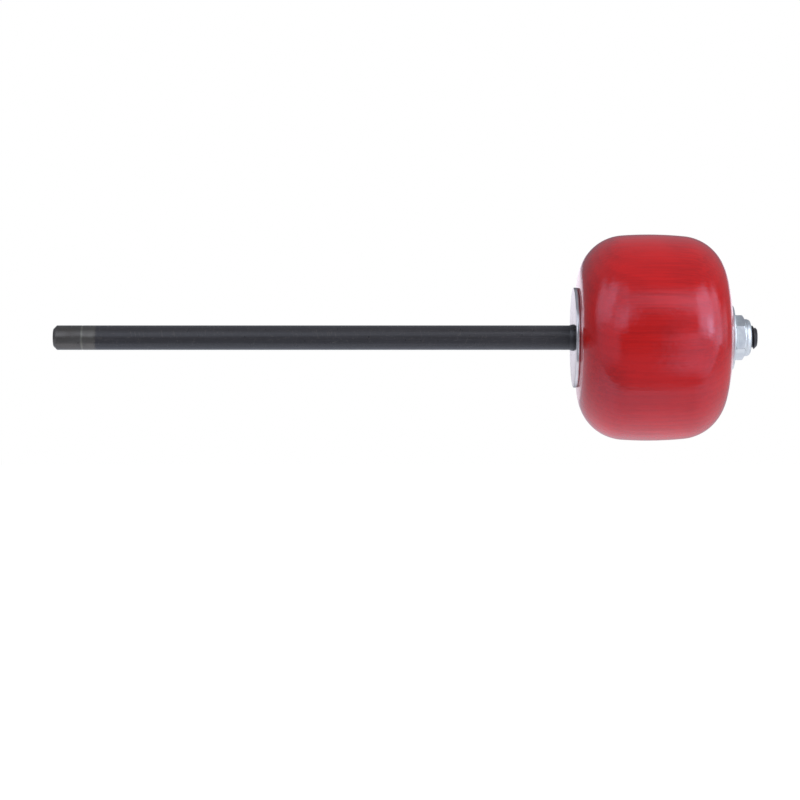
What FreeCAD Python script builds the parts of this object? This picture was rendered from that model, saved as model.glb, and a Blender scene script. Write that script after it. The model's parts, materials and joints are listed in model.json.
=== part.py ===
import FreeCAD, Part
import math
import os

import Sketcher
from FreeCAD import Vector

# Bass drum beater: a steel rod with a turned hardwood head drawn up against
# a stop bead by a washer on each side and a thin nylon insert lock nut.
# The rod lies along X, free end at -X, head at +X. The origin is on the rod's
# axis, in the middle of the length that the pedal grips.

# Driving sizes, in millimetres and degrees
SIZES = (
    ("clamp_inset", 12.0, "free end of the rod to the middle of the gripped length"),
    ("rod_dia", 7.94, "rod diameter, 5/16 in bar"),
    ("shank_length", 168.2, "free end to the shoulder of the stop bead"),
    ("rod_end_chamfer", 1.1, "chamfer on the free end"),
    ("bead_height", 0.32, "height of the stop bead above the rod"),
    ("bead_width", 1.2, "length of the stop bead along the rod"),
    ("thread_pitch_dia", 7.02, "pitch cylinder that stands for the 5/16-18 thread"),
    ("thread_in_head", 9.0, "thread that runs back inside the head"),
    ("thread_stickout", 2.1, "thread that shows past the nut"),
    ("thread_end_chamfer", 0.7, "chamfer on the threaded end"),
    ("thread_clearance", 0.05, "radial running clearance in the nut"),
    ("washer_clearance", 0.1, "radial clearance of the washers on the rod"),
    ("washer_edge_round", 0.3, "rounded outer edge left by the punch"),
    ("rear_washer_dia", 32.4, "rear washer, outside"),
    ("rear_washer_thickness", 1.2, "rear washer, thickness"),
    ("front_washer_dia", 21.0, "front washer, outside"),
    ("front_washer_thickness", 0.9, "front washer, thickness"),
    ("head_dia", 66.7, "largest diameter of the head, 2 5/8 in"),
    ("head_length", 49.5, "head, from seat to seat"),
    ("head_clearance", 0.15, "radial clearance of the head's bore on the rod"),
    ("rear_seat_dia", 30.0, "flat seat turned on the rear of the head"),
    ("front_seat_dia", 22.0, "flat seat turned on the front of the head"),
    ("rear_dome_radius", 171.0, "shallow dome of the rear end"),
    ("front_dome_radius", 90.0, "fuller dome of the striking end"),
    ("rear_corner_radius", 15.0, "round from the rear end into the barrel"),
    ("front_corner_radius", 15.0, "round from the barrel into the striking end"),
    ("end_land", 1.5, "least width of dome between a seat and its corner round"),
    ("crown_radius", 120.0, "crown along the barrel"),
    ("crown_offset", 22.8, "rear seat to the fullest part of the barrel"),
    ("nut_across_flats", 12.7, "hexagon across flats, 1/2 in"),
    ("nut_face_dia", 12.0, "circle left flat by the corner chamfers"),
    ("nut_chamfer_angle", 30.0, "angle of the corner chamfers"),
    ("nut_hex_height", 3.8, "height of the hexagon"),
    ("nut_height", 5.7, "height over the collar"),
    ("nut_countersink", 0.5, "lead-in of the thread at the bearing face"),
    ("collar_dia", 12.0, "collar that holds the insert, outside"),
    ("collar_wall", 0.8, "wall of the collar"),
    ("collar_round", 1.4, "round where the collar is rolled over"),
    ("lip_thickness", 0.5, "rolled lip above the insert"),
    ("insert_depth", 0.5, "depth of the insert's seat below the collar"),
    ("insert_clearance", 0.03, "radial clearance round the insert"),
    ("insert_chamfer", 0.25, "lead-in of the insert's bore"),
)

doc = FreeCAD.newDocument("bass_drum_beater")
dims = doc.addObject("Spreadsheet::Sheet", "dims")
for row, (alias, value, note) in enumerate(SIZES, start=1):
    dims.set(f"A{row}", note)
    dims.set(f"B{row}", str(value))
    dims.setAlias(f"B{row}", alias)
doc.recompute()

# Radii and places that follow from the sizes
rod_radius = "dims.rod_dia / 2"
thread_radius = "dims.thread_pitch_dia / 2"
washer_bore_radius = f"{rod_radius} + dims.washer_clearance"
nut_bore_radius = f"{thread_radius} + dims.thread_clearance"
collar_radius = "dims.collar_dia / 2"
insert_seat_radius = f"{collar_radius} - dims.collar_wall"
lip_radius = f"{collar_radius} - dims.collar_round"
insert_start = "dims.nut_hex_height - dims.insert_depth"
insert_end = "dims.nut_height - dims.lip_thickness"

free_end_x = "-dims.clamp_inset"
rear_washer_x = "dims.shank_length - dims.clamp_inset"
head_x = f"{rear_washer_x} + dims.rear_washer_thickness"
front_washer_x = f"{head_x} + dims.head_length"
nut_x = f"{front_washer_x} + dims.front_washer_thickness"


def number(expression):
    """Value of an expression over the sheet, as a plain number."""
    return float(dims.evalExpression(expression))


def new_body(label, place_x):
    """A body whose own origin lies on the rod's axis, place_x along it."""
    body = doc.addObject("PartDesign::Body", label)
    body.Label = label
    body.setExpression("Placement.Base.x", place_x)
    return body


def origin_feature(body, role):
    """One of the body's own origin planes or axes."""
    for feature in body.Origin.OriginFeatures:
        if feature.Role == role:
            return feature
    raise RuntimeError(f"{body.Label} has no {role}")


def new_sketch(body, name, role):
    """A sketch on one of the body's own origin planes."""
    sketch = body.newObject("Sketcher::SketchObject", name)
    sketch.AttachmentSupport = [(origin_feature(body, role), "")]
    sketch.MapMode = "FlatFace"
    return sketch


def bind(sketch, expression, kind, *where):
    """Add a dimension to the sketch and tie it to the sheet."""
    index = sketch.addConstraint(Sketcher.Constraint(kind, *where, number(expression)))
    sketch.setExpression(f"Constraints[{index}]", expression)


def outline(body, name, corners):
    """Closed half section in the XY plane, X along the axis and Y the radius.

    Each corner is (x, radius), listed over the top from rear to front and back
    along the axis. A third entry rounds the edge to the next corner outwards.
    """
    sketch = new_sketch(body, name, "XY_Plane")
    points = [Vector(number(x), number(r), 0) for x, r, *rounding in corners]
    starts = []
    for index, (x, r, *rounding) in enumerate(corners):
        start = points[index]
        end = points[(index + 1) % len(points)]
        if rounding:
            chord = end - start
            outwards = Vector(-chord.y, chord.x, 0).normalize()
            radius = number(rounding[0])
            rise = radius - math.sqrt(radius ** 2 - (chord.Length / 2) ** 2)
            middle = (start + end) * 0.5 + outwards * rise
            edge = sketch.addGeometry(Part.Arc(start, middle, end))
            bind(sketch, rounding[0], "Radius", edge)
            # an arc counts its ends anticlockwise, so it starts at the far corner
            starts.append((edge, 2, 1))
        else:
            edge = sketch.addGeometry(Part.LineSegment(start, end))
            starts.append((edge, 1, 2))
    for index, (x, r, *rounding) in enumerate(corners):
        edge, first, last = starts[index]
        before, _, before_last = starts[index - 1]
        sketch.addConstraint(Sketcher.Constraint("Coincident", before, before_last, edge, first))
        bind(sketch, x, "DistanceX", -1, 1, edge, first)
        bind(sketch, r, "DistanceY", -1, 1, edge, first)
    return sketch


def revolve(body, kind, name, sketch):
    """Turn a half section right round the X axis, as a Revolution or a Groove."""
    before = body.Shape.Volume if kind == "Groove" else 0.0
    feature = body.newObject(f"PartDesign::{kind}", name)
    feature.Profile = sketch
    feature.ReferenceAxis = (sketch, ["H_Axis"])
    feature.Angle = 360.0
    doc.recompute()
    if kind == "Groove" and feature.Shape.Volume >= before:
        raise RuntimeError(f"{name} cuts nothing")
    return feature


# Rod: plain shank, upset stop bead, then the thread's pitch cylinder to the tip
rod = new_body("rod", free_end_x)
bead_radius = f"{rod_radius} + dims.bead_height"
bead_arc = "(dims.bead_width ^ 2 + dims.bead_height ^ 2) / (2 * dims.bead_height)"
head_front = "dims.shank_length + dims.rear_washer_thickness + dims.head_length"
thread_start = f"{head_front} - dims.thread_in_head"
rod_tip = f"{head_front} + dims.front_washer_thickness + dims.nut_height + dims.thread_stickout"
rod_section = outline(rod, "rod_section", [
    ("0", "0"),
    ("0", f"{rod_radius} - dims.rod_end_chamfer"),
    ("dims.rod_end_chamfer", rod_radius),
    ("dims.shank_length - dims.bead_width", rod_radius, bead_arc),
    ("dims.shank_length", bead_radius),
    ("dims.shank_length", rod_radius),
    (thread_start, rod_radius),
    (thread_start, thread_radius),
    (f"{rod_tip} - dims.thread_end_chamfer", thread_radius),
    (rod_tip, f"{thread_radius} - dims.thread_end_chamfer"),
    (rod_tip, "0"),
])
revolve(rod, "Revolution", "rod_turning", rod_section)


def washer(label, place_x, diameter, thickness, outer_face):
    """Punched steel washer with the rounded edge on its outer face."""
    body = new_body(label, place_x)
    sketch = new_sketch(body, f"{label}_blank", "YZ_Plane")
    for radius in (f"{diameter} / 2", washer_bore_radius):
        ring = sketch.addGeometry(Part.Circle(Vector(), Vector(0, 0, 1), number(radius)))
        sketch.addConstraint(Sketcher.Constraint("Coincident", ring, 3, -1, 1))
        bind(sketch, radius, "Radius", ring)
    blank = body.newObject("PartDesign::Pad", f"{label}_punching")
    blank.Profile = sketch
    blank.setExpression("Length", thickness)
    doc.recompute()
    face_x = number(f"{place_x} + {outer_face}")
    rim = number(f"{diameter} / 2")
    outer_edges = [
        f"Edge{index}"
        for index, edge in enumerate(body.Shape.Edges, start=1)
        if edge.isClosed()
        and math.isclose(edge.Curve.Radius, rim, abs_tol=1e-6)
        and math.isclose(edge.CenterOfMass.x, face_x, abs_tol=1e-6)
    ]
    rounding = body.newObject("PartDesign::Fillet", f"{label}_edge")
    rounding.Base = (blank, outer_edges)
    rounding.setExpression("Radius", "dims.washer_edge_round")
    doc.recompute()
    return body


# Rear washer: bears on the bead and spreads the load on the head's rear seat
rear_washer = washer("rear_washer", rear_washer_x, "dims.rear_washer_dia",
                     "dims.rear_washer_thickness", "0")


def corner_centre(dome_centre, dome_radius, crown_centre, crown_radius, corner_radius):
    """Centre of the round that touches a dome and the crown from inside.

    It makes a triangle of known sides with the two centres, and of the two
    such points it is the one further from the axis.
    """
    to_dome = dome_radius - corner_radius
    to_crown = crown_radius - corner_radius
    span = crown_centre - dome_centre
    along = (to_dome ** 2 - to_crown ** 2 + span.Length ** 2) / (2 * span.Length)
    across = math.sqrt(to_dome ** 2 - along ** 2)
    unit = Vector(span).normalize()
    foot = dome_centre + unit * along
    normal = Vector(-unit.y, unit.x, 0) * across
    return max(foot + normal, foot - normal, key=lambda point: point.y)


def touch(centre, radius, inner_centre):
    """Point where a circle touches a smaller one inside it."""
    return centre + (inner_centre - centre).normalize() * radius


def arc_over(sketch, centre, radius, rear, front):
    """Arc over the top of its centre, from a rear point to a front one."""
    circle = Part.Circle(centre, Vector(0, 0, 1), radius)
    angles = [math.atan2(point.y - centre.y, point.x - centre.x) for point in (front, rear)]
    return sketch.addGeometry(Part.ArcOfCircle(circle, *angles))


# Head: hardwood turned to a crowned barrel with domed ends, bored for the rod
head = new_body("head", head_x)
head_section = new_sketch(head, "head_section", "XY_Plane")
head_bore_radius = f"{rod_radius} + dims.head_clearance"
# each corner round is limited by the width of its end outside the seat
rear_width = "(dims.head_dia - dims.rear_seat_dia) / 2 - dims.end_land"
front_width = "(dims.head_dia - dims.front_seat_dia) / 2 - dims.end_land"
rear_round = f"min(dims.rear_corner_radius; {rear_width})"
front_round = f"min(dims.front_corner_radius; {front_width})"
length = number("dims.head_length")
rear_bore = Vector(0, number(head_bore_radius), 0)
front_bore = Vector(length, rear_bore.y, 0)
rear_seat = Vector(0, number("dims.rear_seat_dia / 2"), 0)
front_seat = Vector(length, number("dims.front_seat_dia / 2"), 0)
rear_dome = number("dims.rear_dome_radius")
front_dome = number("dims.front_dome_radius")
rear_corner = number(rear_round)
front_corner = number(front_round)
crown = number("dims.crown_radius")
rear_dome_c = Vector(math.sqrt(rear_dome ** 2 - rear_seat.y ** 2), 0, 0)
front_dome_c = Vector(length - math.sqrt(front_dome ** 2 - front_seat.y ** 2), 0, 0)
crown_c = Vector(number("dims.crown_offset"), number("dims.head_dia / 2") - crown, 0)
rear_corner_c = corner_centre(rear_dome_c, rear_dome, crown_c, crown, rear_corner)
front_corner_c = corner_centre(front_dome_c, front_dome, crown_c, crown, front_corner)
rear_dome_end = touch(rear_dome_c, rear_dome, rear_corner_c)
crown_start = touch(crown_c, crown, rear_corner_c)
crown_end = touch(crown_c, crown, front_corner_c)
front_dome_start = touch(front_dome_c, front_dome, front_corner_c)

rear_face = head_section.addGeometry(Part.LineSegment(rear_bore, rear_seat))
arcs = [
    arc_over(head_section, rear_dome_c, rear_dome, rear_seat, rear_dome_end),
    arc_over(head_section, rear_corner_c, rear_corner, rear_dome_end, crown_start),
    arc_over(head_section, crown_c, crown, crown_start, crown_end),
    arc_over(head_section, front_corner_c, front_corner, crown_end, front_dome_start),
    arc_over(head_section, front_dome_c, front_dome, front_dome_start, front_seat),
]
front_face = head_section.addGeometry(Part.LineSegment(front_seat, front_bore))
bore_wall = head_section.addGeometry(Part.LineSegment(front_bore, rear_bore))
# an arc counts its ends anticlockwise, so end 2 is its rear one and end 1 its front one
for joint in (
    ("Coincident", rear_face, 2, arcs[0], 2),
    ("Tangent", arcs[0], 1, arcs[1], 2),
    ("Tangent", arcs[1], 1, arcs[2], 2),
    ("Tangent", arcs[2], 1, arcs[3], 2),
    ("Tangent", arcs[3], 1, arcs[4], 2),
    ("Coincident", arcs[4], 1, front_face, 1),
    ("Coincident", front_face, 2, bore_wall, 1),
    ("Coincident", bore_wall, 2, rear_face, 1),
    ("PointOnObject", rear_face, 1, -2),
    ("Vertical", rear_face),
    ("Vertical", front_face),
    ("Horizontal", bore_wall),
    ("PointOnObject", arcs[0], 3, -1),
    ("PointOnObject", arcs[4], 3, -1),
):
    head_section.addConstraint(Sketcher.Constraint(*joint))
bind(head_section, head_bore_radius, "DistanceY", -1, 1, bore_wall, 2)
bind(head_section, "dims.head_length", "DistanceX", -1, 1, bore_wall, 1)
bind(head_section, "dims.rear_seat_dia / 2", "DistanceY", -1, 1, rear_face, 2)
bind(head_section, "dims.front_seat_dia / 2", "DistanceY", -1, 1, front_face, 1)
bind(head_section, "dims.crown_offset", "DistanceX", -1, 1, arcs[2], 3)
bind(head_section, "dims.crown_radius - dims.head_dia / 2", "DistanceY", arcs[2], 3, -1, 1)
for arc, radius in zip(arcs, ("dims.rear_dome_radius", rear_round, "dims.crown_radius",
                              front_round, "dims.front_dome_radius")):
    bind(head_section, radius, "Radius", arc)
revolve(head, "Revolution", "head_turning", head_section)

# Front washer: lies on the head's front seat, under the nut
front_washer = washer("front_washer", front_washer_x, "dims.front_washer_dia",
                      "dims.front_washer_thickness", "dims.front_washer_thickness")

# Lock nut: hexagon with chamfered corners, and a collar rolled over the insert
lock_nut = new_body("lock_nut", nut_x)
corner_radius = "dims.nut_across_flats / 2 / cos(30 deg)"
hexagon = new_sketch(lock_nut, "hexagon", "YZ_Plane")
reach = number(corner_radius)
hex_points = [
    Vector(-math.sin(math.radians(angle)), math.cos(math.radians(angle)), 0) * reach
    for angle in range(0, 360, 60)
]
sides = [
    hexagon.addGeometry(Part.LineSegment(hex_points[index - 1], hex_points[index]))
    for index in range(len(hex_points))
]
rim = hexagon.addGeometry(Part.Circle(Vector(), Vector(0, 0, 1), reach), True)
hexagon.addConstraint(Sketcher.Constraint("Coincident", rim, 3, -1, 1))
bind(hexagon, corner_radius, "Radius", rim)
for index, side in enumerate(sides):
    hexagon.addConstraint(Sketcher.Constraint("Coincident", sides[index - 1], 2, side, 1))
    hexagon.addConstraint(Sketcher.Constraint("PointOnObject", side, 1, rim))
    if index:
        hexagon.addConstraint(Sketcher.Constraint("Equal", sides[0], side))
# one corner points straight up
hexagon.addConstraint(Sketcher.Constraint("PointOnObject", sides[1], 1, -2))
blank = lock_nut.newObject("PartDesign::Pad", "hexagon_blank")
blank.Profile = hexagon
blank.setExpression("Length", "dims.nut_hex_height")
doc.recompute()

face_radius = "dims.nut_face_dia / 2"
chamfer_depth = f"(({corner_radius}) - {face_radius}) * tan(dims.nut_chamfer_angle * 1 deg)"
bearing_chamfer = outline(lock_nut, "bearing_chamfer", [
    ("0", face_radius),
    ("0", corner_radius),
    (chamfer_depth, corner_radius),
])
revolve(lock_nut, "Groove", "bearing_chamfer_cut", bearing_chamfer)
collar_chamfer = outline(lock_nut, "collar_chamfer", [
    ("dims.nut_hex_height", face_radius),
    (f"dims.nut_hex_height - {chamfer_depth}", corner_radius),
    ("dims.nut_hex_height", corner_radius),
])
revolve(lock_nut, "Groove", "collar_chamfer_cut", collar_chamfer)
collar = outline(lock_nut, "collar", [
    ("dims.nut_hex_height", "0"),
    ("dims.nut_hex_height", collar_radius),
    ("dims.nut_height - dims.collar_round", collar_radius, "dims.collar_round"),
    ("dims.nut_height", lip_radius),
    ("dims.nut_height", "0"),
])
revolve(lock_nut, "Revolution", "collar_turning", collar)
nut_bore = outline(lock_nut, "nut_bore", [
    ("0", "0"),
    ("0", f"{nut_bore_radius} + dims.nut_countersink"),
    ("dims.nut_countersink", nut_bore_radius),
    (insert_start, nut_bore_radius),
    (insert_start, insert_seat_radius),
    (insert_end, insert_seat_radius),
    (insert_end, lip_radius),
    ("dims.nut_height", lip_radius),
    ("dims.nut_height", "0"),
])
revolve(lock_nut, "Groove", "nut_boring", nut_bore)

# Nylon insert: plain ring held between its seat and the rolled lip
nylon_insert = new_body("nylon_insert", nut_x)
insert_section = outline(nylon_insert, "insert_section", [
    (insert_start, nut_bore_radius),
    (insert_start, f"{insert_seat_radius} - dims.insert_clearance"),
    (insert_end, f"{insert_seat_radius} - dims.insert_clearance"),
    (insert_end, f"{nut_bore_radius} + dims.insert_chamfer"),
    (f"{insert_end} - dims.insert_chamfer", nut_bore_radius),
])
revolve(nylon_insert, "Revolution", "insert_moulding", insert_section)

# Every feature has to be sound before anything is written
doc.recompute()
for item in doc.Objects:
    if "Invalid" in item.State or "Error" in item.State:
        raise RuntimeError(f"{item.Label} did not build: {item.State}")
bodies = [rod, rear_washer, head, front_washer, lock_nut, nylon_insert]
for body in bodies:
    if body.Shape.isNull() or not body.Shape.isValid() or len(body.Shape.Solids) != 1:
        raise RuntimeError(f"{body.Label} is not one sound solid")

os.makedirs("parts", exist_ok=True)
for body in bodies:
    body.Shape.exportStep(f"parts/{body.Label}.step")
    box = body.Shape.BoundBox
    print(f"{body.Label}: {body.Shape.Volume:.1f} mm3, x {box.XMin:.2f} to {box.XMax:.2f}")
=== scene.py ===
import json
import math

import bmesh
import bpy
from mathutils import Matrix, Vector


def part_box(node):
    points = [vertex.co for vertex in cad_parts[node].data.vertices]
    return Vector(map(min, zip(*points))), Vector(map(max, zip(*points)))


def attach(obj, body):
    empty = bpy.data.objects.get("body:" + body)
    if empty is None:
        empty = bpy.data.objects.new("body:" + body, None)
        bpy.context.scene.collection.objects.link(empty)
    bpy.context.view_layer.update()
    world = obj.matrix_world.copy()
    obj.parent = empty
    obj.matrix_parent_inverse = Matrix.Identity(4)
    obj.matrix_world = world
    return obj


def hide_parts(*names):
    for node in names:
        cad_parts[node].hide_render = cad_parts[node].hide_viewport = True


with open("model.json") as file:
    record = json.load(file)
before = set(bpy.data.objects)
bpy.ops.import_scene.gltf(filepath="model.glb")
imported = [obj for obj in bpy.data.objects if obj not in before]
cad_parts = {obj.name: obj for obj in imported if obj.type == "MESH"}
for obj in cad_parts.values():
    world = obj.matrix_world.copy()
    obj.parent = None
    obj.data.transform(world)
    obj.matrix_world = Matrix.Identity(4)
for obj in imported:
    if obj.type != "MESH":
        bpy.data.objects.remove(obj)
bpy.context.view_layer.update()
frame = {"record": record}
scene = bpy.context.scene


# Rod: round 5/16 in steel bar, blacked all over. A bead upset near the head stops the washer, and a coarse
# thread is rolled on the head end. The pedal's clamp has rubbed the free end grey and scored a ring in it.
def rounded(corners, steps=6):
    """Section line through corners of (x, radius, rounding), with an arc in place of each rounded corner."""
    line = []
    places = [Vector(corner[:2]) for corner in corners]
    for index, corner in enumerate(corners):
        place = places[index]
        rounding = corner[2]
        if not rounding:
            line.append(tuple(place))
            continue
        back = (places[index - 1] - place).normalized()
        ahead = (places[(index + 1) % len(places)] - place).normalized()
        half = back.angle(ahead) / 2
        centre = place + (back + ahead).normalized() * rounding / math.sin(half)
        start = (place + back * rounding / math.tan(half) - centre).normalized()
        end = (place + ahead * rounding / math.tan(half) - centre).normalized()
        line += [tuple(centre + start.slerp(end, step / steps) * rounding) for step in range(steps + 1)]
    return line


def skin(name, rings, angles, closed):
    """Mesh over rings strung along the axis; a ring is (x, radius), or a function of the angle."""
    crisp_edge = math.radians(24)
    mesh = bmesh.new()
    loops = []
    for ring in rings:
        loop = []
        for angle in angles:
            x, radius = ring(angle) if callable(ring) else ring
            loop.append(mesh.verts.new((x, radius * math.cos(angle), radius * math.sin(angle))))
        loops.append(loop)
    if closed:
        loops.append(loops[0])
    else:
        mesh.faces.new(loops[0])
        mesh.faces.new(loops[-1])
    for near, far in zip(loops, loops[1:]):
        for index in range(len(angles)):
            mesh.faces.new((near[index - 1], near[index], far[index], far[index - 1]))
    bmesh.ops.recalc_face_normals(mesh, faces=mesh.faces)
    if mesh.calc_volume(signed=True) < 0:
        bmesh.ops.reverse_faces(mesh, faces=mesh.faces)
    data = bpy.data.meshes.new(name)
    mesh.to_mesh(data)
    mesh.free()
    data.shade_smooth()
    data.set_sharp_from_angle(angle=crisp_edge)
    piece = bpy.data.objects.new(name, data)
    scene.collection.objects.link(piece)
    return piece


def around(count):
    """That many even angles round the axis."""
    return [math.tau * index / count for index in range(count)]


rod_low, rod_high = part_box("rod")
washer_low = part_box("rear_washer")[0]
head_low, head_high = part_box("head")
mm_per_metre = 1000
rod_radius = frame["record"]["mounts"][0]["dims"]["r_mm"] / mm_per_metre
rod_chamfer = 0.0011
rod_edge_round = 0.00025
face_centre = 0.0003
rod_sides = 96
score_x = -0.00264
score_half = 0.0003
score_depth = 0.00004
bead_width = 0.0012
bead_height = rod_high.z - rod_radius
bead_arc = (bead_width ** 2 + bead_height ** 2) / (2 * bead_height)
bead_steps = 10
thread_in_head = 0.009
thread_start = head_high.x - thread_in_head
thread_pitch = frame["record"]["behaviour"]["couplings"][0]["ratio"] * math.tau
thread_crest = 0.00390
thread_root = 0.00312
thread_flat = 1 / 16
thread_tip = 0.00281
run_out_turns = 2
rings_per_pitch = 16


def thread_radius(x, angle):
    """Height of the right-hand thread over the axis, with its chamfered tip and its run-out in the head."""
    phase = (x / thread_pitch - angle / math.tau) % 1
    down = (abs(phase - 0.5) - thread_flat) / (0.5 - 3 * thread_flat)
    cut = min(max(down, 0), 1) * (thread_crest - thread_root)
    run_out = min(max((x - thread_start) / (run_out_turns * thread_pitch), 0), 1)
    return min(thread_crest - cut * run_out, thread_tip + rod_high.x - x)


def thread_rings(start, end, reach):
    """Rings along a thread from start to end, with the reach that a function of place and angle gives."""
    count = round(abs(end - start) / thread_pitch * rings_per_pitch)
    places = [start + (end - start) * step / count for step in range(count + 1)]
    return [lambda angle, x=x: (x, reach(x, angle)) for x in places]


rod_line = rounded([
    (rod_low.x, face_centre, 0),
    (rod_low.x, rod_radius - rod_chamfer, rod_edge_round),
    (rod_low.x + rod_chamfer, rod_radius, rod_edge_round),
    (score_x - score_half, rod_radius, 0),
    (score_x, rod_radius - score_depth, score_half),
    (score_x + score_half, rod_radius, 0),
])
for step in range(bead_steps + 1):
    before_shoulder = bead_width * (1 - step / bead_steps)
    drop = bead_arc - math.sqrt(bead_arc ** 2 - before_shoulder ** 2)
    rod_line.append((washer_low.x - before_shoulder, rod_high.z - drop))
rod_line += [(washer_low.x, rod_radius), (thread_start, rod_radius)]
rod_line += thread_rings(thread_start, rod_high.x, thread_radius)
rod_line.append((rod_high.x, face_centre))
rod = skin("blacked_rod", rod_line, around(rod_sides), closed=False)


def put(tree, kind, inputs, **settings):
    """Add a shader node; each input is a value or another node's output."""
    node = tree.nodes.new("ShaderNode" + kind)
    for name, value in settings.items():
        setattr(node, name, value)
    for key, value in inputs.items():
        if isinstance(value, bpy.types.NodeSocket):
            tree.links.new(value, node.inputs[key])
        else:
            node.inputs[key].default_value = value
    return node


def sums(tree, operation, first, second=0.0):
    """One step of arithmetic on values."""
    return put(tree, "Math", {0: first, 1: second}, operation=operation).outputs[0]


def total(tree, *weighted):
    """Sum of values, each times its weight."""
    result = 0.0
    for value, weight in weighted:
        result = put(tree, "Math", {0: value, 1: weight, 2: result}, operation="MULTIPLY_ADD").outputs[0]
    return result


def rise(tree, value, low, high, start=0.0, end=1.0):
    """Smooth step from start to end as the value goes from low to high."""
    limits = {"Value": value, "From Min": low, "From Max": high, "To Min": start, "To Max": end}
    return put(tree, "MapRange", limits, interpolation_type="SMOOTHSTEP").outputs[0]


def tint(tree, share, first, second):
    """Colour between two others."""
    return put(tree, "Mix", {0: share, 6: first, 7: second}, data_type="RGBA").outputs[2]


def stretched(tree, place, scale):
    """Place scaled along each axis, for streaks and fibres."""
    return put(tree, "VectorMath", {0: place, 1: scale}, operation="MULTIPLY").outputs[0]


def from_axis(tree, parts):
    """Distance from the rod's axis of a place given in its three parts."""
    across = put(tree, "CombineXYZ", {1: parts[1], 2: parts[2]}).outputs[0]
    return put(tree, "VectorMath", {0: across}, operation="LENGTH").outputs["Value"]


def noise(tree, place, per_mm=1.0, detail=3.0):
    """Soft random value from 0 to 1, with so many patches to a millimetre."""
    return put(tree, "TexNoise", {"Vector": place, "Scale": per_mm, "Detail": detail}).outputs[0]


def new_group(name, inputs, outputs):
    """Empty node group, with its tree, what comes in and what goes out."""
    tree = bpy.data.node_groups.new(name, "ShaderNodeTree")
    for way, sockets in (("INPUT", inputs), ("OUTPUT", outputs)):
        for label, kind in sockets.items():
            tree.interface.new_socket(label, in_out=way, socket_type="NodeSocket" + kind)
    entry = tree.nodes.new("NodeGroupInput").outputs
    way_out = tree.nodes.new("NodeGroupOutput").inputs
    return tree, entry, way_out


def effect(tree, group, place, **values):
    """What a node group puts out, placed in a material with its own values."""
    return put(tree, "Group", {"Place": place, **values}, node_tree=group).outputs


def new_finish(name):
    """Material with its tree, its shader and the place on the piece in millimetres."""
    material = bpy.data.materials.new(name)
    material.use_nodes = True
    tree = material.node_tree
    place = put(tree, "TexCoord", {}).outputs["Object"]
    return material, tree, tree.nodes["Principled BSDF"], stretched(tree, place, (mm_per_metre,) * 3)


def relief(tree, shader, height, depth):
    """Raise the surface by a height of 0 to 1, depth metres deep."""
    bump = put(tree, "Bump", {"Height": height, "Distance": depth, "Strength": 1.0})
    tree.links.new(bump.outputs[0], shader.inputs["Normal"])


# Hairline scratches from handling, in three directions, on every hard surface
scratch_turns = (0.4, 1.5, 2.6)
scratch_axis = (1, 1, 1)
scratch_stretch = (0.12, 4.0, 4.0)
scratch_edge = (0.66, 0.74)
scratches, entry, way_out = new_group(
    "handling_scratches", {"Place": "Vector", "Size": "Float"}, {"Mask": "Float"})
density = sums(scratches, "DIVIDE", 1.0, entry["Size"])
found = 0.0
for turn in scratch_turns:
    about = {"Vector": entry["Place"], "Axis": scratch_axis, "Angle": turn}
    turned_place = put(scratches, "VectorRotate", about).outputs[0]
    streaks = noise(scratches, stretched(scratches, turned_place, scratch_stretch), density, detail=1.0)
    found = sums(scratches, "MAXIMUM", found, rise(scratches, streaks, *scratch_edge))
scratches.links.new(found, way_out["Mask"])

# Fine rings left by a cutting tool, along a barrel and across an end face
turning, entry, way_out = new_group(
    "turning_rings", {"Place": "Vector", "Pitch": "Float"}, {"Height": "Float"})
parts = put(turning, "SeparateXYZ", {0: entry["Place"]}).outputs
feed = sums(turning, "ADD", parts[0], from_axis(turning, parts))
feed = sums(turning, "DIVIDE", feed, entry["Pitch"])
rings = put(turning, "TexNoise", {"W": feed, "Scale": 1.0, "Detail": 2.0}, noise_dimensions="1D")
turning.links.new(rings.outputs[0], way_out["Height"])

# Satin black, rubbed through to dull steel where the clamp grips and on the crests of the thread. In every
# finish sizes are in millimetres, and reliefs in metres. Two or four numbers together are the limits of a
# smooth step.
black = (0.0265, 0.0245, 0.0275, 1)
rubbed_black = (0.034, 0.032, 0.036, 1)
dull_steel = (0.143, 0.130, 0.116, 1)
bright_steel = (0.24, 0.23, 0.19, 1)
bar_streak = (0.03, 2.6, 2.6)
bar_tone = (0.42, 0.72)
satin = (0.2, 0.8, 0.26, 0.38)
bare_dulling = 0.01
rub_edge = 1.6
rub_blur = 0.5
rub_ragged = 3.0
rub_share = 0.9
rub_patches = (0.25, 0.6, 0.65, 1.0)
score_mm = score_x * mm_per_metre
score_mark = (0.15, 0.45, 0.6, 0.0)
score_end = (score_mm, score_mm + 0.3)
brighter_share = 0.15
crest_mm = thread_crest * mm_per_metre
crest_wear = (crest_mm - 0.12, crest_mm - 0.02)
crest_share = 0.12
thread_mm = thread_start * mm_per_metre
thread_wear = (thread_mm, thread_mm + 1)
hairline_size = 1.6
hairline_share = 0.2
end_face_pitch = 0.12
black_relief = 0.00001
finish, tree, shader, place = new_finish("blacked_steel")
along = put(tree, "SeparateXYZ", {0: place}).outputs
cloud = noise(tree, place, per_mm=0.45, detail=4.0)
speckle = noise(tree, place, per_mm=3.5)
lengthwise = noise(tree, stretched(tree, place, bar_streak), detail=4.0)
ragged = sums(tree, "MULTIPLY", sums(tree, "SUBTRACT", speckle, 0.5), rub_ragged)
rubbed = rise(tree, sums(tree, "ADD", along[0], ragged), rub_edge - rub_blur, rub_edge + rub_blur, 1.0, 0.0)
rubbed = sums(tree, "MULTIPLY", rubbed, rise(tree, cloud, *rub_patches))
score = sums(tree, "ABSOLUTE", sums(tree, "SUBTRACT", along[0], score_mm))
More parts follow.
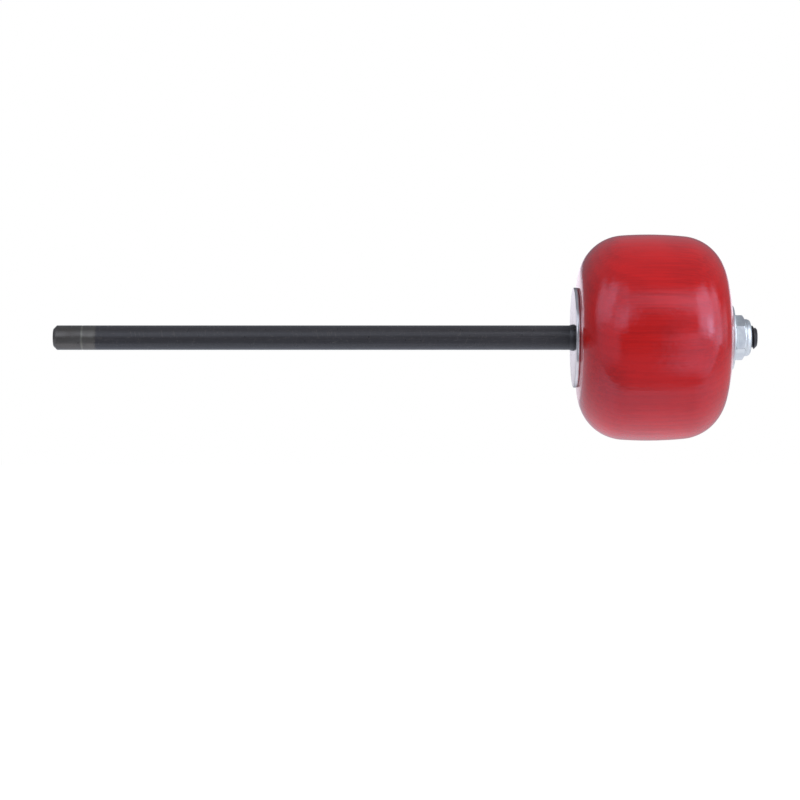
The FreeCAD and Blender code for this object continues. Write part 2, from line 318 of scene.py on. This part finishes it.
score = rise(tree, score, *score_mark)
beyond_score = sums(tree, "MULTIPLY", rise(tree, along[0], *score_end), rubbed)
crest = rise(tree, from_axis(tree, along), *crest_wear)
crest = sums(tree, "MULTIPLY", crest, rise(tree, along[0], *thread_wear))
hairlines = effect(tree, scratches, place, Size=hairline_size)[0]
bare = sums(tree, "MAXIMUM", sums(tree, "MULTIPLY", rubbed, rub_share), score)
bare = sums(tree, "MAXIMUM", bare, sums(tree, "MULTIPLY", crest, crest_share))
coat = tint(tree, rise(tree, lengthwise, *bar_tone), black, rubbed_black)
coat = tint(tree, sums(tree, "MULTIPLY", hairlines, hairline_share), coat, dull_steel)
coat = tint(tree, bare, coat, dull_steel)
coat = tint(tree, sums(tree, "MULTIPLY", beyond_score, brighter_share), coat, bright_steel)
coat = tint(tree, score, coat, bright_steel)
tree.links.new(coat, shader.inputs["Base Color"])
tree.links.new(bare, shader.inputs["Metallic"])
sheen = total(tree, (rise(tree, cloud, *satin), 1.0), (bare, bare_dulling))
tree.links.new(sheen, shader.inputs["Roughness"])
end_rings = effect(tree, turning, place, Pitch=end_face_pitch)[0]
relief(tree, shader, total(tree, (speckle, 0.5), (end_rings, 0.25), (hairlines, -0.4)), black_relief)
rod.data.materials.append(finish)
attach(rod, "beater")
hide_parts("rod")


# Rear washer: wide plain washer punched from steel strip and zinc plated. It bears on the rod's bead and
# spreads the load over the rear of the head; its rim is smooth where the punch cut and torn below.
washer_play = 0.0001
bore_round = 0.00020
punched_round = 0.00030
clean_share = 0.6
torn_taper = 0.00006
torn_round = 0.00005
burr_round = 0.00008
washer_sides = 144


def washer(name, node, punched_end):
    """Punched washer over a CAD washer, its rounded edge at the end nearer to punched_end."""
    low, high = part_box(node)
    near, far = sorted((low.x, high.x), key=lambda x: abs(x - punched_end))
    torn = near + (far - near) * clean_share
    bore = rod_radius + washer_play
    line = rounded([
        (near, bore, bore_round),
        (near, high.z, punched_round),
        (torn, high.z, 0),
        (far, high.z - torn_taper, torn_round),
        (far, bore, burr_round),
    ])
    return skin(name, line, around(washer_sides), closed=True)


# Bright zinc: blue-grey with cloudy patches of bloom, and a fine rolled texture
bloom_tone = (0.3, 0.7)
bloom_patches = 0.5
bloom_grain = 5.0
bloom, entry, way_out = new_group(
    "zinc_bloom", {"Place": "Vector", "Size": "Float"}, {"Tone": "Float", "Grain": "Float"})
wide = noise(bloom, entry["Place"], sums(bloom, "DIVIDE", bloom_patches, entry["Size"]), detail=4.0)
fine = noise(bloom, entry["Place"], sums(bloom, "DIVIDE", bloom_grain, entry["Size"]))
bloom.links.new(rise(bloom, wide, *bloom_tone), way_out["Tone"])
bloom.links.new(fine, way_out["Grain"])


def zinc_finish(name, pale, deep, grazed, smooth, rough, bloom_size, line_pitch):
    """Zinc plate from a pale to a deep tone, tinted where it is grazed, with scuffs and circular lines."""
    line_tone = (0.5, 0.75, 0.0, 0.3)
    scuff_size = 0.8
    scuff_share = 0.4
    haze_span = (0.25, 0.75)
    zinc_relief = 0.000012
    finish, tree, shader, place = new_finish(name)
    clouds = effect(tree, bloom, place, Size=bloom_size)
    lines = effect(tree, turning, place, Pitch=line_pitch)[0]
    scuffs = effect(tree, scratches, place, Size=scuff_size)[0]
    tone = tint(tree, clouds["Tone"], pale, deep)
    tone = tint(tree, rise(tree, lines, *line_tone), tone, deep)
    tone = tint(tree, sums(tree, "MULTIPLY", scuffs, scuff_share), tone, pale)
    tree.links.new(tone, shader.inputs["Base Color"])
    shader.inputs["Metallic"].default_value = 1.0
    shader.inputs["Specular Tint"].default_value = grazed
    haze = total(tree, (clouds["Grain"], 0.6), (lines, 0.4))
    tree.links.new(rise(tree, haze, *haze_span, smooth, rough), shader.inputs["Roughness"])
    relief(tree, shader, total(tree, (clouds["Grain"], 0.5), (lines, 0.4), (scuffs, -0.3)), zinc_relief)
    return finish


pale_strip = (0.80, 0.74, 0.72, 1)
deep_strip = (0.67, 0.63, 0.62, 1)
dull_strip = (0.64, 0.63, 0.63, 1)
rear_washer = washer("rear_washer_zinc", "rear_washer", rod_low.x)
rear_washer.data.materials.append(zinc_finish(
    "rear_washer_zinc", pale_strip, deep_strip, dull_strip,
    smooth=0.10, rough=0.18, bloom_size=2.2, line_pitch=0.25))
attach(rear_washer, "beater")
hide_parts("rear_washer")


# Head: barrel turned from one block of hardwood with the grain along the rod, bored through, sanded and
# dipped in red lacquer. It is drawn up between the two washers and does not turn on the rod.
rear_seat_radius = 0.015
front_seat_radius = 0.011
rear_dome_radius = 0.171
rear_dome_steps = 10
front_dome_radius = 0.090
front_dome_steps = 14
corner_radius = 0.015
corner_steps = 32
crown_radius = 0.120
crown_offset = 0.0228
crown_steps = 24
head_play = 0.00015
head_bore = rod_radius + head_play
bore_break = 0.0004
head_sides = 192


def corner_centre(dome_centre, dome_radius):
    """Centre of the corner round that touches a dome and the crown from inside, off the axis."""
    to_dome = dome_radius - corner_radius
    to_crown = crown_radius - corner_radius
    span = crown_centre - dome_centre
    reach = (to_dome ** 2 - to_crown ** 2 + span.length_squared) / (2 * span.length)
    unit = span.normalized()
    side = Vector((-unit.y, unit.x)) * math.sqrt(to_dome ** 2 - reach ** 2)
    foot = dome_centre + unit * reach
    return max(foot + side, foot - side, key=lambda point: point.y)


def meeting(centre, radius, corner_middle):
    """Where a dome or the crown about a centre runs into a corner round."""
    return centre + (corner_middle - centre).normalized() * radius


def arc(centre, radius, start, end, steps):
    """Points of an arc about a centre, towards start and round to end, without its last one."""
    first = (start - centre).normalized()
    last = (end - centre).normalized()
    return [tuple(centre + first.slerp(last, step / steps) * radius) for step in range(steps)]


rear_seat_edge = Vector((head_low.x, rear_seat_radius))
front_seat_edge = Vector((head_high.x, front_seat_radius))
rear_centre = Vector((head_low.x + math.sqrt(rear_dome_radius ** 2 - rear_seat_radius ** 2), 0))
front_centre = Vector((head_high.x - math.sqrt(front_dome_radius ** 2 - front_seat_radius ** 2), 0))
crown_centre = Vector((head_low.x + crown_offset, head_high.z - crown_radius))
rear_corner = corner_centre(rear_centre, rear_dome_radius)
front_corner = corner_centre(front_centre, front_dome_radius)
rear_end = meeting(rear_centre, rear_dome_radius, rear_corner)
crown_start = meeting(crown_centre, crown_radius, rear_corner)
crown_end = meeting(crown_centre, crown_radius, front_corner)
front_start = meeting(front_centre, front_dome_radius, front_corner)
head_line = arc(rear_centre, rear_dome_radius, rear_seat_edge, rear_end, rear_dome_steps)
head_line += arc(rear_corner, corner_radius, rear_end, crown_start, corner_steps)
head_line += arc(crown_centre, crown_radius, crown_start, crown_end, crown_steps)
head_line += arc(front_corner, corner_radius, crown_end, front_start, corner_steps)
head_line += arc(front_centre, front_dome_radius, front_start, front_seat_edge, front_dome_steps)
head_line += rounded([
    (*front_seat_edge, 0),
    (head_high.x, head_bore, bore_break),
    (head_low.x, head_bore, bore_break),
    (*rear_seat_edge, 0),
])[:-1]
head = skin("lacquered_head", head_line, around(head_sides), closed=True)

# Red lacquer over the wood: growth rings about the pith, fibres and pores show through it, and it lies in
# soft ripples along the grain
deep_red = (0.40, 0.0057, 0.0036, 1)
clear_red = (0.545, 0.0080, 0.0047, 1)
pore_red = (0.28, 0.004, 0.003, 1)
haze_blue = (0.80, 0.80, 1.0, 1)
pith = (0, 24, -62)
ring_width = 2.7
ring_stretch = (0.012, 1, 1)
wander_stretch = (0.2, 1, 1)
wander_per_mm = 0.05
wander = (0, 5, 5)
late_start = (0.35, 0.92)
late_end = (0.94, 1.0, 1.0, 0.0)
late_share = 0.22
fibre_stretch = (0.035, 1.5, 1.5)
fibre_span = (0.3, 0.7)
figure_share = (0.35, 0.65, 0.20, 0.75)
patch_tone = (0.3, 0.7, -0.20, 0.26)
vessel_stretch = (0.22, 4.5, 4.5)
pore_edge = (0.66, 0.76)
pore_share = 0.35
ripple_stretch = (0.03, 0.55, 0.55)
gloss_patches = (0.3, 0.7, 0.08, 0.14)
mark_size = 2.5
mark_dulling = 0.08
lathe_pitch = 0.6
lacquer_relief = 0.00003
lacquer_index = 1.58
finish, tree, shader, place = new_finish("red_lacquered_wood")
warp_place = stretched(tree, place, wander_stretch)
warp = put(tree, "TexNoise", {"Vector": warp_place, "Scale": wander_per_mm, "Detail": 2.0}).outputs["Color"]
bent = put(tree, "VectorMath", {0: stretched(tree, warp, wander), 1: place}, operation="ADD").outputs[0]
from_pith = put(tree, "VectorMath", {0: bent, 1: pith}, operation="SUBTRACT").outputs[0]
across = stretched(tree, from_pith, ring_stretch)
growth = put(tree, "VectorMath", {0: across}, operation="LENGTH").outputs["Value"]
season = sums(tree, "FRACT", sums(tree, "DIVIDE", growth, ring_width))
late_wood = sums(tree, "MULTIPLY", rise(tree, season, *late_start), rise(tree, season, *late_end))
fibre = noise(tree, stretched(tree, place, fibre_stretch), detail=5.0)
vessel = noise(tree, stretched(tree, place, vessel_stretch), detail=1.0)
pores = rise(tree, vessel, *pore_edge)
patches = noise(tree, place, per_mm=0.08)
figure = noise(tree, place, per_mm=0.05, detail=2.0)
shade = total(
    tree,
    (rise(tree, fibre, *fibre_span), rise(tree, figure, *figure_share)),
    (late_wood, late_share),
    (rise(tree, patches, *patch_tone), 1.0))
wood = tint(tree, shade, clear_red, deep_red)
wood = tint(tree, sums(tree, "MULTIPLY", pores, pore_share), wood, pore_red)
tree.links.new(wood, shader.inputs["Base Color"])
marks = effect(tree, scratches, place, Size=mark_size)[0]
lathe = effect(tree, turning, place, Pitch=lathe_pitch)[0]
gloss = rise(tree, noise(tree, place, per_mm=0.12, detail=4.0), *gloss_patches)
gloss = total(tree, (gloss, 1.0), (marks, mark_dulling))
tree.links.new(gloss, shader.inputs["Roughness"])
peel = noise(tree, place, per_mm=0.5, detail=2.0)
ripple = noise(tree, stretched(tree, place, ripple_stretch), detail=2.0)
surface = total(tree, (peel, 1.5), (fibre, 0.40), (ripple, 1.6), (lathe, 0.10), (pores, -0.12))
relief(tree, shader, surface, lacquer_relief)
shader.inputs["IOR"].default_value = lacquer_index
shader.inputs["Specular Tint"].default_value = haze_blue
head.data.materials.append(finish)
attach(head, "beater")
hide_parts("head")


# Front washer: small washer of the same punched, zinc-plated strip. It lies on the seat turned on the
# striking end of the head and takes the rub of the nut.
pale_zinc = (0.84, 0.85, 0.82, 1)
deep_zinc = (0.71, 0.725, 0.71, 1)
bright_zinc = (1, 1, 1, 1)
dull_plate = {"smooth": 0.40, "rough": 0.50}
front_washer = washer("front_washer_zinc", "front_washer", rod_high.x)
front_washer.data.materials.append(zinc_finish(
    "front_washer_zinc", pale_zinc, deep_zinc, bright_zinc, **dull_plate, bloom_size=1.6, line_pitch=0.18))
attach(front_washer, "front_washer")
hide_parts("front_washer")


# Lock nut: thin hexagon nut cold-formed from steel, with turned corner chamfers, a tapped bore and a collar
# rolled over a nylon ring. It is zinc plated and screws the head and washers up against the rod's bead.
nut_low, nut_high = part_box("lock_nut")
insert_low, insert_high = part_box("nylon_insert")
flat_reach = nut_high.y
face_radius = 0.0060
chamfer_slope = math.tan(math.radians(30))
hex_height = 0.0038
hex_top = nut_low.x + hex_height
collar_radius = 0.0060
collar_round = 0.0014
collar_steps = 8
lip_radius = collar_radius - collar_round
lip_round = 0.0002
lip_break = 0.0001
corner_round = 0.0003
tapping_drill = 0.00335
thread_play = 0.00006
countersink_depth = 0.0005
countersink_width = 0.0009
tip_clearance = 0.002
corner_degrees = (0, 0.6, 1.2, 2.5, 5, 9, 14, 19, 24)
flat_degrees = 30
flats = 6
sixth = math.tau / flats
tumbled_width = 0.00010
tumbled_angle = math.radians(25)


def hexagon(angle):
    """Reach of the hexagon, its corners slightly rounded, with a flat facing the angle 0."""
    turn = abs((angle + sixth / 2) % sixth - sixth / 2)
    inner = (flat_reach - corner_round) / math.cos(sixth / 2)
    if turn < math.atan(inner * math.sin(sixth / 2) / flat_reach):
        return flat_reach / math.cos(turn)
    off_corner = sixth / 2 - turn
    return inner * math.cos(off_corner) + math.sqrt(corner_round ** 2 - (inner * math.sin(off_corner)) ** 2)


def under_chamfer(angle, face, inwards):
    """Place on the hexagon's side where the corner chamfer of that face ends."""
    reach = hexagon(angle)
    return face + inwards * (reach - face_radius) * chamfer_slope, reach


def tapped(x, angle):
    """Reach of the nut's own thread, which runs on the rod's."""
    return max(tapping_drill, thread_radius(min(x, rod_high.x - tip_clearance), angle) + thread_play)


nut_angles = []
for index in range(flats):
    offsets = [-offset for offset in corner_degrees[:0:-1]] + list(corner_degrees) + [flat_degrees]
    nut_angles += [sixth * (index + 0.5) + math.radians(offset) for offset in offsets]
nut_line = [
    (nut_low.x, tapping_drill + countersink_width),
    (nut_low.x, face_radius),
    lambda angle: under_chamfer(angle, nut_low.x, 1),
    lambda angle: under_chamfer(angle, hex_top, -1),
]
nut_line += rounded([
    (hex_top, face_radius, 0),
    (nut_high.x, collar_radius, collar_round),
    (nut_high.x, lip_radius, lip_round),
    (insert_high.x, lip_radius, lip_break),
    (insert_high.x, insert_high.z, 0),
    (insert_low.x, insert_high.z, 0),
], collar_steps)
nut_line += thread_rings(insert_low.x, nut_low.x + countersink_depth, tapped)
nut = skin("zinc_lock_nut", nut_line, nut_angles, closed=True)
edges = nut.modifiers.new("tumbled_edges", "BEVEL")
edges.width = tumbled_width
edges.segments = 2
edges.limit_method = "ANGLE"
edges.angle_limit = tumbled_angle
nut.data.materials.append(zinc_finish(
    "lock_nut_zinc", pale_zinc, deep_zinc, bright_zinc, **dull_plate, bloom_size=1.2, line_pitch=0.10))
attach(nut, "lock_nut")
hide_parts("lock_nut")


# Nylon insert: plain ring of natural nylon, moulded and dropped into the nut's collar before it is rolled
# over. The rod's thread presses its own way through the bore, which is what locks the nut.
ring_round = 0.00015
natural = (0.80, 0.81, 0.77, 1)
shaded = (0.70, 0.71, 0.66, 1)
shade_span = (0.3, 0.7)
moulding_pitch = 0.15
moulded_gloss = (0.2, 0.8, 0.40, 0.55)
moulding_relief = 0.000008


def pressed(x, angle):
    """Reach of the groove that the rod's thread has pressed into the bore."""
    return thread_radius(x, angle) + thread_play / 2


insert_line = rounded([
    (insert_high.x, thread_crest, 0),
    (insert_high.x, insert_high.z, ring_round),
    (insert_low.x, insert_high.z, ring_round),
    (insert_low.x, thread_crest, 0),
])[1:-1]
insert_line += thread_rings(insert_low.x, insert_high.x, pressed)
insert = skin("nylon_ring", insert_line, around(rod_sides), closed=True)
finish, tree, shader, place = new_finish("natural_nylon")
cloud = rise(tree, noise(tree, place, per_mm=0.9), *shade_span)
moulding = effect(tree, turning, place, Pitch=moulding_pitch)[0]
tree.links.new(tint(tree, cloud, natural, shaded), shader.inputs["Base Color"])
tree.links.new(rise(tree, moulding, *moulded_gloss), shader.inputs["Roughness"])
relief(tree, shader, moulding, moulding_relief)
insert.data.materials.append(finish)
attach(insert, "lock_nut")
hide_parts("nylon_insert")


# Table: white top 0.3 m below the beater, which is held up by its clamp. Its front edge lies towards the
# camera, and the room beyond it is dim, as the lacquer mirrors it. The top glows with painted light: what
# the lacquer and the zinc mirror in it is a painted glow with a painted shadow under the head, and matt
# surfaces get a painted bounce light from it. The camera sees the top as painted white, a little less so
# near the part, so that the part's soft shadow shows.
table_z = -0.30
table_front = -0.215
table_back = 5.0
table_half = 4.0
table_grey = (0.53, 0.54, 0.60, 1)
daylight = (0.90, 1.0, 1.20, 1)
head_spot = (0.18, -0.13, table_z)
part_spot = (0.1, 0, table_z)
# Painted shadow under the head and painted dimming in the table's glow, and its painted bounce light
painted_head_shadow = (0.04, 0.22, 0.36, 0.53)
far_dimming = (0.2, 1.0, 0.0, -0.20)
rear_dimming = (-0.3, 0.18, -0.04, 0.0)
front_dimming = (0.18, 0.30, 0.0, -0.14)
edge_fade = (table_front, table_front + 0.05)
painted_bounce = (0.0, 0.32, 1.0, 1.65)
near_white = 0.50
far_white = 0.83
white_far_off = (0.25, 0.9, near_white, far_white)
white_at_edge = (table_front, table_front + 0.24, far_white, near_white)


def distance(tree, place, point):
    """Distance of a place from a point."""
    return put(tree, "VectorMath", {0: place, 1: point}, operation="DISTANCE").outputs["Value"]


def between(tree, share, first, second):
    """Value between two others."""
    return put(tree, "Mix", {0: share, 2: first, 3: second}).outputs[0]


table_data = bpy.data.meshes.new("table_top")
table_data.from_pydata(
    [(-table_half, table_front, table_z), (table_half, table_front, table_z),
     (table_half, table_back, table_z), (-table_half, table_back, table_z)], [], [(0, 1, 2, 3)])
table = bpy.data.objects.new("table_top", table_data)
scene.collection.objects.link(table)
finish = bpy.data.materials.new("table_white")
finish.use_nodes = True
tree = finish.node_tree
tree.nodes.remove(tree.nodes["Principled BSDF"])
rays = put(tree, "LightPath", {}).outputs
spot = put(tree, "NewGeometry", {}).outputs["Position"]
spot_x, spot_y = put(tree, "SeparateXYZ", {0: spot}).outputs[:2]
off_head = distance(tree, spot, head_spot)
# Painted glow for mirror rays, with a painted shadow under the head, dimmer further off, fading at the front
# edge; matt surfaces get painted bounce light instead, brighter towards the head end
painted_glow = rise(tree, off_head, *painted_head_shadow)
for measure, dimming in ((off_head, far_dimming), (spot_x, rear_dimming), (spot_x, front_dimming)):
    painted_glow = sums(tree, "ADD", painted_glow, rise(tree, measure, *dimming))
painted_glow = sums(tree, "MULTIPLY", painted_glow, rise(tree, spot_y, *edge_fade))
painted_glow = between(tree, rays["Is Glossy Ray"], rise(tree, spot_x, *painted_bounce), painted_glow)
# Painted white for the camera, lowered near the part so that its real soft shadow shows
whiteness = rise(tree, distance(tree, spot, part_spot), *white_far_off)
whiteness = sums(tree, "MAXIMUM", whiteness, rise(tree, spot_y, *white_at_edge))
matt = put(tree, "BsdfDiffuse", {"Color": table_grey}).outputs[0]
mirrored = put(tree, "Emission", {"Color": daylight, "Strength": painted_glow}).outputs[0]
white = put(tree, "Emission", {"Strength": whiteness}).outputs[0]
lift = put(tree, "MixShader", {0: rays["Is Camera Ray"], 1: mirrored, 2: white}).outputs[0]
both = put(tree, "AddShader", {0: matt, 1: lift}).outputs[0]
tree.links.new(both, tree.nodes["Material Output"].inputs["Surface"])
table_data.materials.append(finish)


# Room: dim all round, with a curtained window on the left, a brighter one on the right and a white sheet
# behind, which the lacquer and the zinc mirror. The camera sees plain white, and what lights the part is
# soft, with more from behind.
windows = (
    # left and right azimuth from the camera's side, lower and upper elevation, blur of the edges, brightness
    (-96, -72, 12, 44, 9, 1.1),
    (-72, -48, 14, 54, 9, 1.3),
    (-44, -9, 10, 33, 7, 1.0),
    (-28, -11, 13, 28, 6, 0.4),
    (-54, -8, 33, 59, 7, 0.62),
    (-90, -28, -24, 13, 10, 0.38),
    (-10, 28, 33, 51, 8, 0.5),
    (-13, -1, 18, 35, 4, 0.7),
    (12, 32, -4, 50, 8, 0.3),
    (18, 29, 24, 40, 5, 0.45),
    (30, 70, 5, 48, 9, 2.3),
    (40, 70, 0, 24, 5, 0.6),
    (53, 67, 2, 16, 4, 2.4),
    (70, 95, -4, 37, 8, 1.5),
    (97, 118, -3, 14, 7, 0.65),
    (12, 96, -38, 4, 8, 0.8),
)
ceiling = (0.1, 0.8, 0.21, 0.35)
ground = (-0.5, -0.1, 0.15, 0.0)
sheet_white = (1.02, 1.0, 1.12, 1)
sheet_sides = (0.80, 0.97)
sheet_height = (0.05, 0.14, 1.0, 0.0)
sheet_glow = (-0.06, 0.06, 0.66, 1.15)
lamp_white = (1, 1, 1, 1)
soft_level = (-0.8, 0.9, 0.25, 0.28)
soft_behind = (0.2, 1.0, 0.0, 0.5)
soft_from_right = -0.10
world = bpy.data.worlds.new("studio_room")
scene.world = world
world.use_nodes = True
tree = world.node_tree
way = put(tree, "TexCoord", {}).outputs["Generated"]
right_way, back_way, up_way = put(tree, "SeparateXYZ", {0: way}).outputs
to_camera = sums(tree, "MULTIPLY", back_way, -1.0)
azimuth = sums(tree, "DEGREES", sums(tree, "ARCTAN2", right_way, to_camera))
elevation = sums(tree, "DEGREES", sums(tree, "ARCSINE", up_way))
room = sums(tree, "ADD", rise(tree, up_way, *ceiling), rise(tree, up_way, *ground))
for left, right, low, high, blur, brightness in windows:
    wide = sums(tree, "MULTIPLY", rise(tree, azimuth, left - blur, left + blur),
                rise(tree, azimuth, right - blur, right + blur, 1.0, 0.0))
    tall = sums(tree, "MULTIPLY", rise(tree, elevation, low - blur, low + blur),
                rise(tree, elevation, high - blur, high + blur, 1.0, 0.0))
    pane = sums(tree, "MULTIPLY", wide, tall)
    room = total(tree, (pane, brightness), (room, 1.0))
sheet = rise(tree, sums(tree, "ABSOLUTE", up_way), *sheet_height)
sheet = sums(tree, "MULTIPLY", rise(tree, back_way, *sheet_sides), sheet)
room = total(tree, (sheet, rise(tree, up_way, *sheet_glow)), (room, 1.0))
soft_light = total(
    tree,
    (right_way, soft_from_right),
    (rise(tree, up_way, *soft_level), 1.0),
    (rise(tree, back_way, *soft_behind), 1.0))
rays = put(tree, "LightPath", {}).outputs
mirrored = sums(tree, "MAXIMUM", rays["Is Glossy Ray"], rays["Is Transmission Ray"])
level = between(tree, mirrored, soft_light, room)
level = between(tree, rays["Is Camera Ray"], level, 1.0)
tree.links.new(level, tree.nodes["Background"].inputs["Strength"])
colour = tint(tree, mirrored, lamp_white, tint(tree, sheet, daylight, sheet_white))
tree.links.new(colour, tree.nodes["Background"].inputs["Color"])


# Key lamp: one large soft box above and to the right of the camera, aimed at the middle of the beater. Only
# matt surfaces take its light: the lacquer and the zinc don't mirror it.
lamp_watts = 14.6
lamp_width = 0.8
lamp_height = 0.6
lamp_place = Vector((0.56, -0.90, 0.90))
lamp_aim = Vector((0.12, 0, 0))
lamp_data = bpy.data.lights.new("soft_box", "AREA")
lamp_data.energy = lamp_watts
lamp_data.shape = "RECTANGLE"
lamp_data.size = lamp_width
lamp_data.size_y = lamp_height
lamp = bpy.data.objects.new("soft_box", lamp_data)
lamp.location = lamp_place
lamp.rotation_mode = "QUATERNION"
lamp.rotation_quaternion = (lamp_aim - lamp_place).to_track_quat("-Z", "Y")
lamp.visible_glossy = False
lamp.visible_camera = False
scene.collection.objects.link(lamp)


# Camera: level with the rod and square to it, 0.8 m from its axis, tipped down a little so that the beater
# stands as high in the picture as it does in the photograph.
camera_x = 0.10015
camera_distance = 0.8
aim_z = -0.0202
sensor_mm = 36
lens_mm = 111.1
camera_data = bpy.data.cameras.new("camera")
camera_data.sensor_width = sensor_mm
camera_data.lens = lens_mm
camera = bpy.data.objects.new("camera", camera_data)
camera.location = (camera_x, -camera_distance, 0)
camera.rotation_mode = "QUATERNION"
camera.rotation_quaternion = Vector((0, camera_distance, aim_z)).to_track_quat("-Z", "Y")
scene.collection.objects.link(camera)
scene.camera = camera
scene.view_settings.view_transform = "Standard"
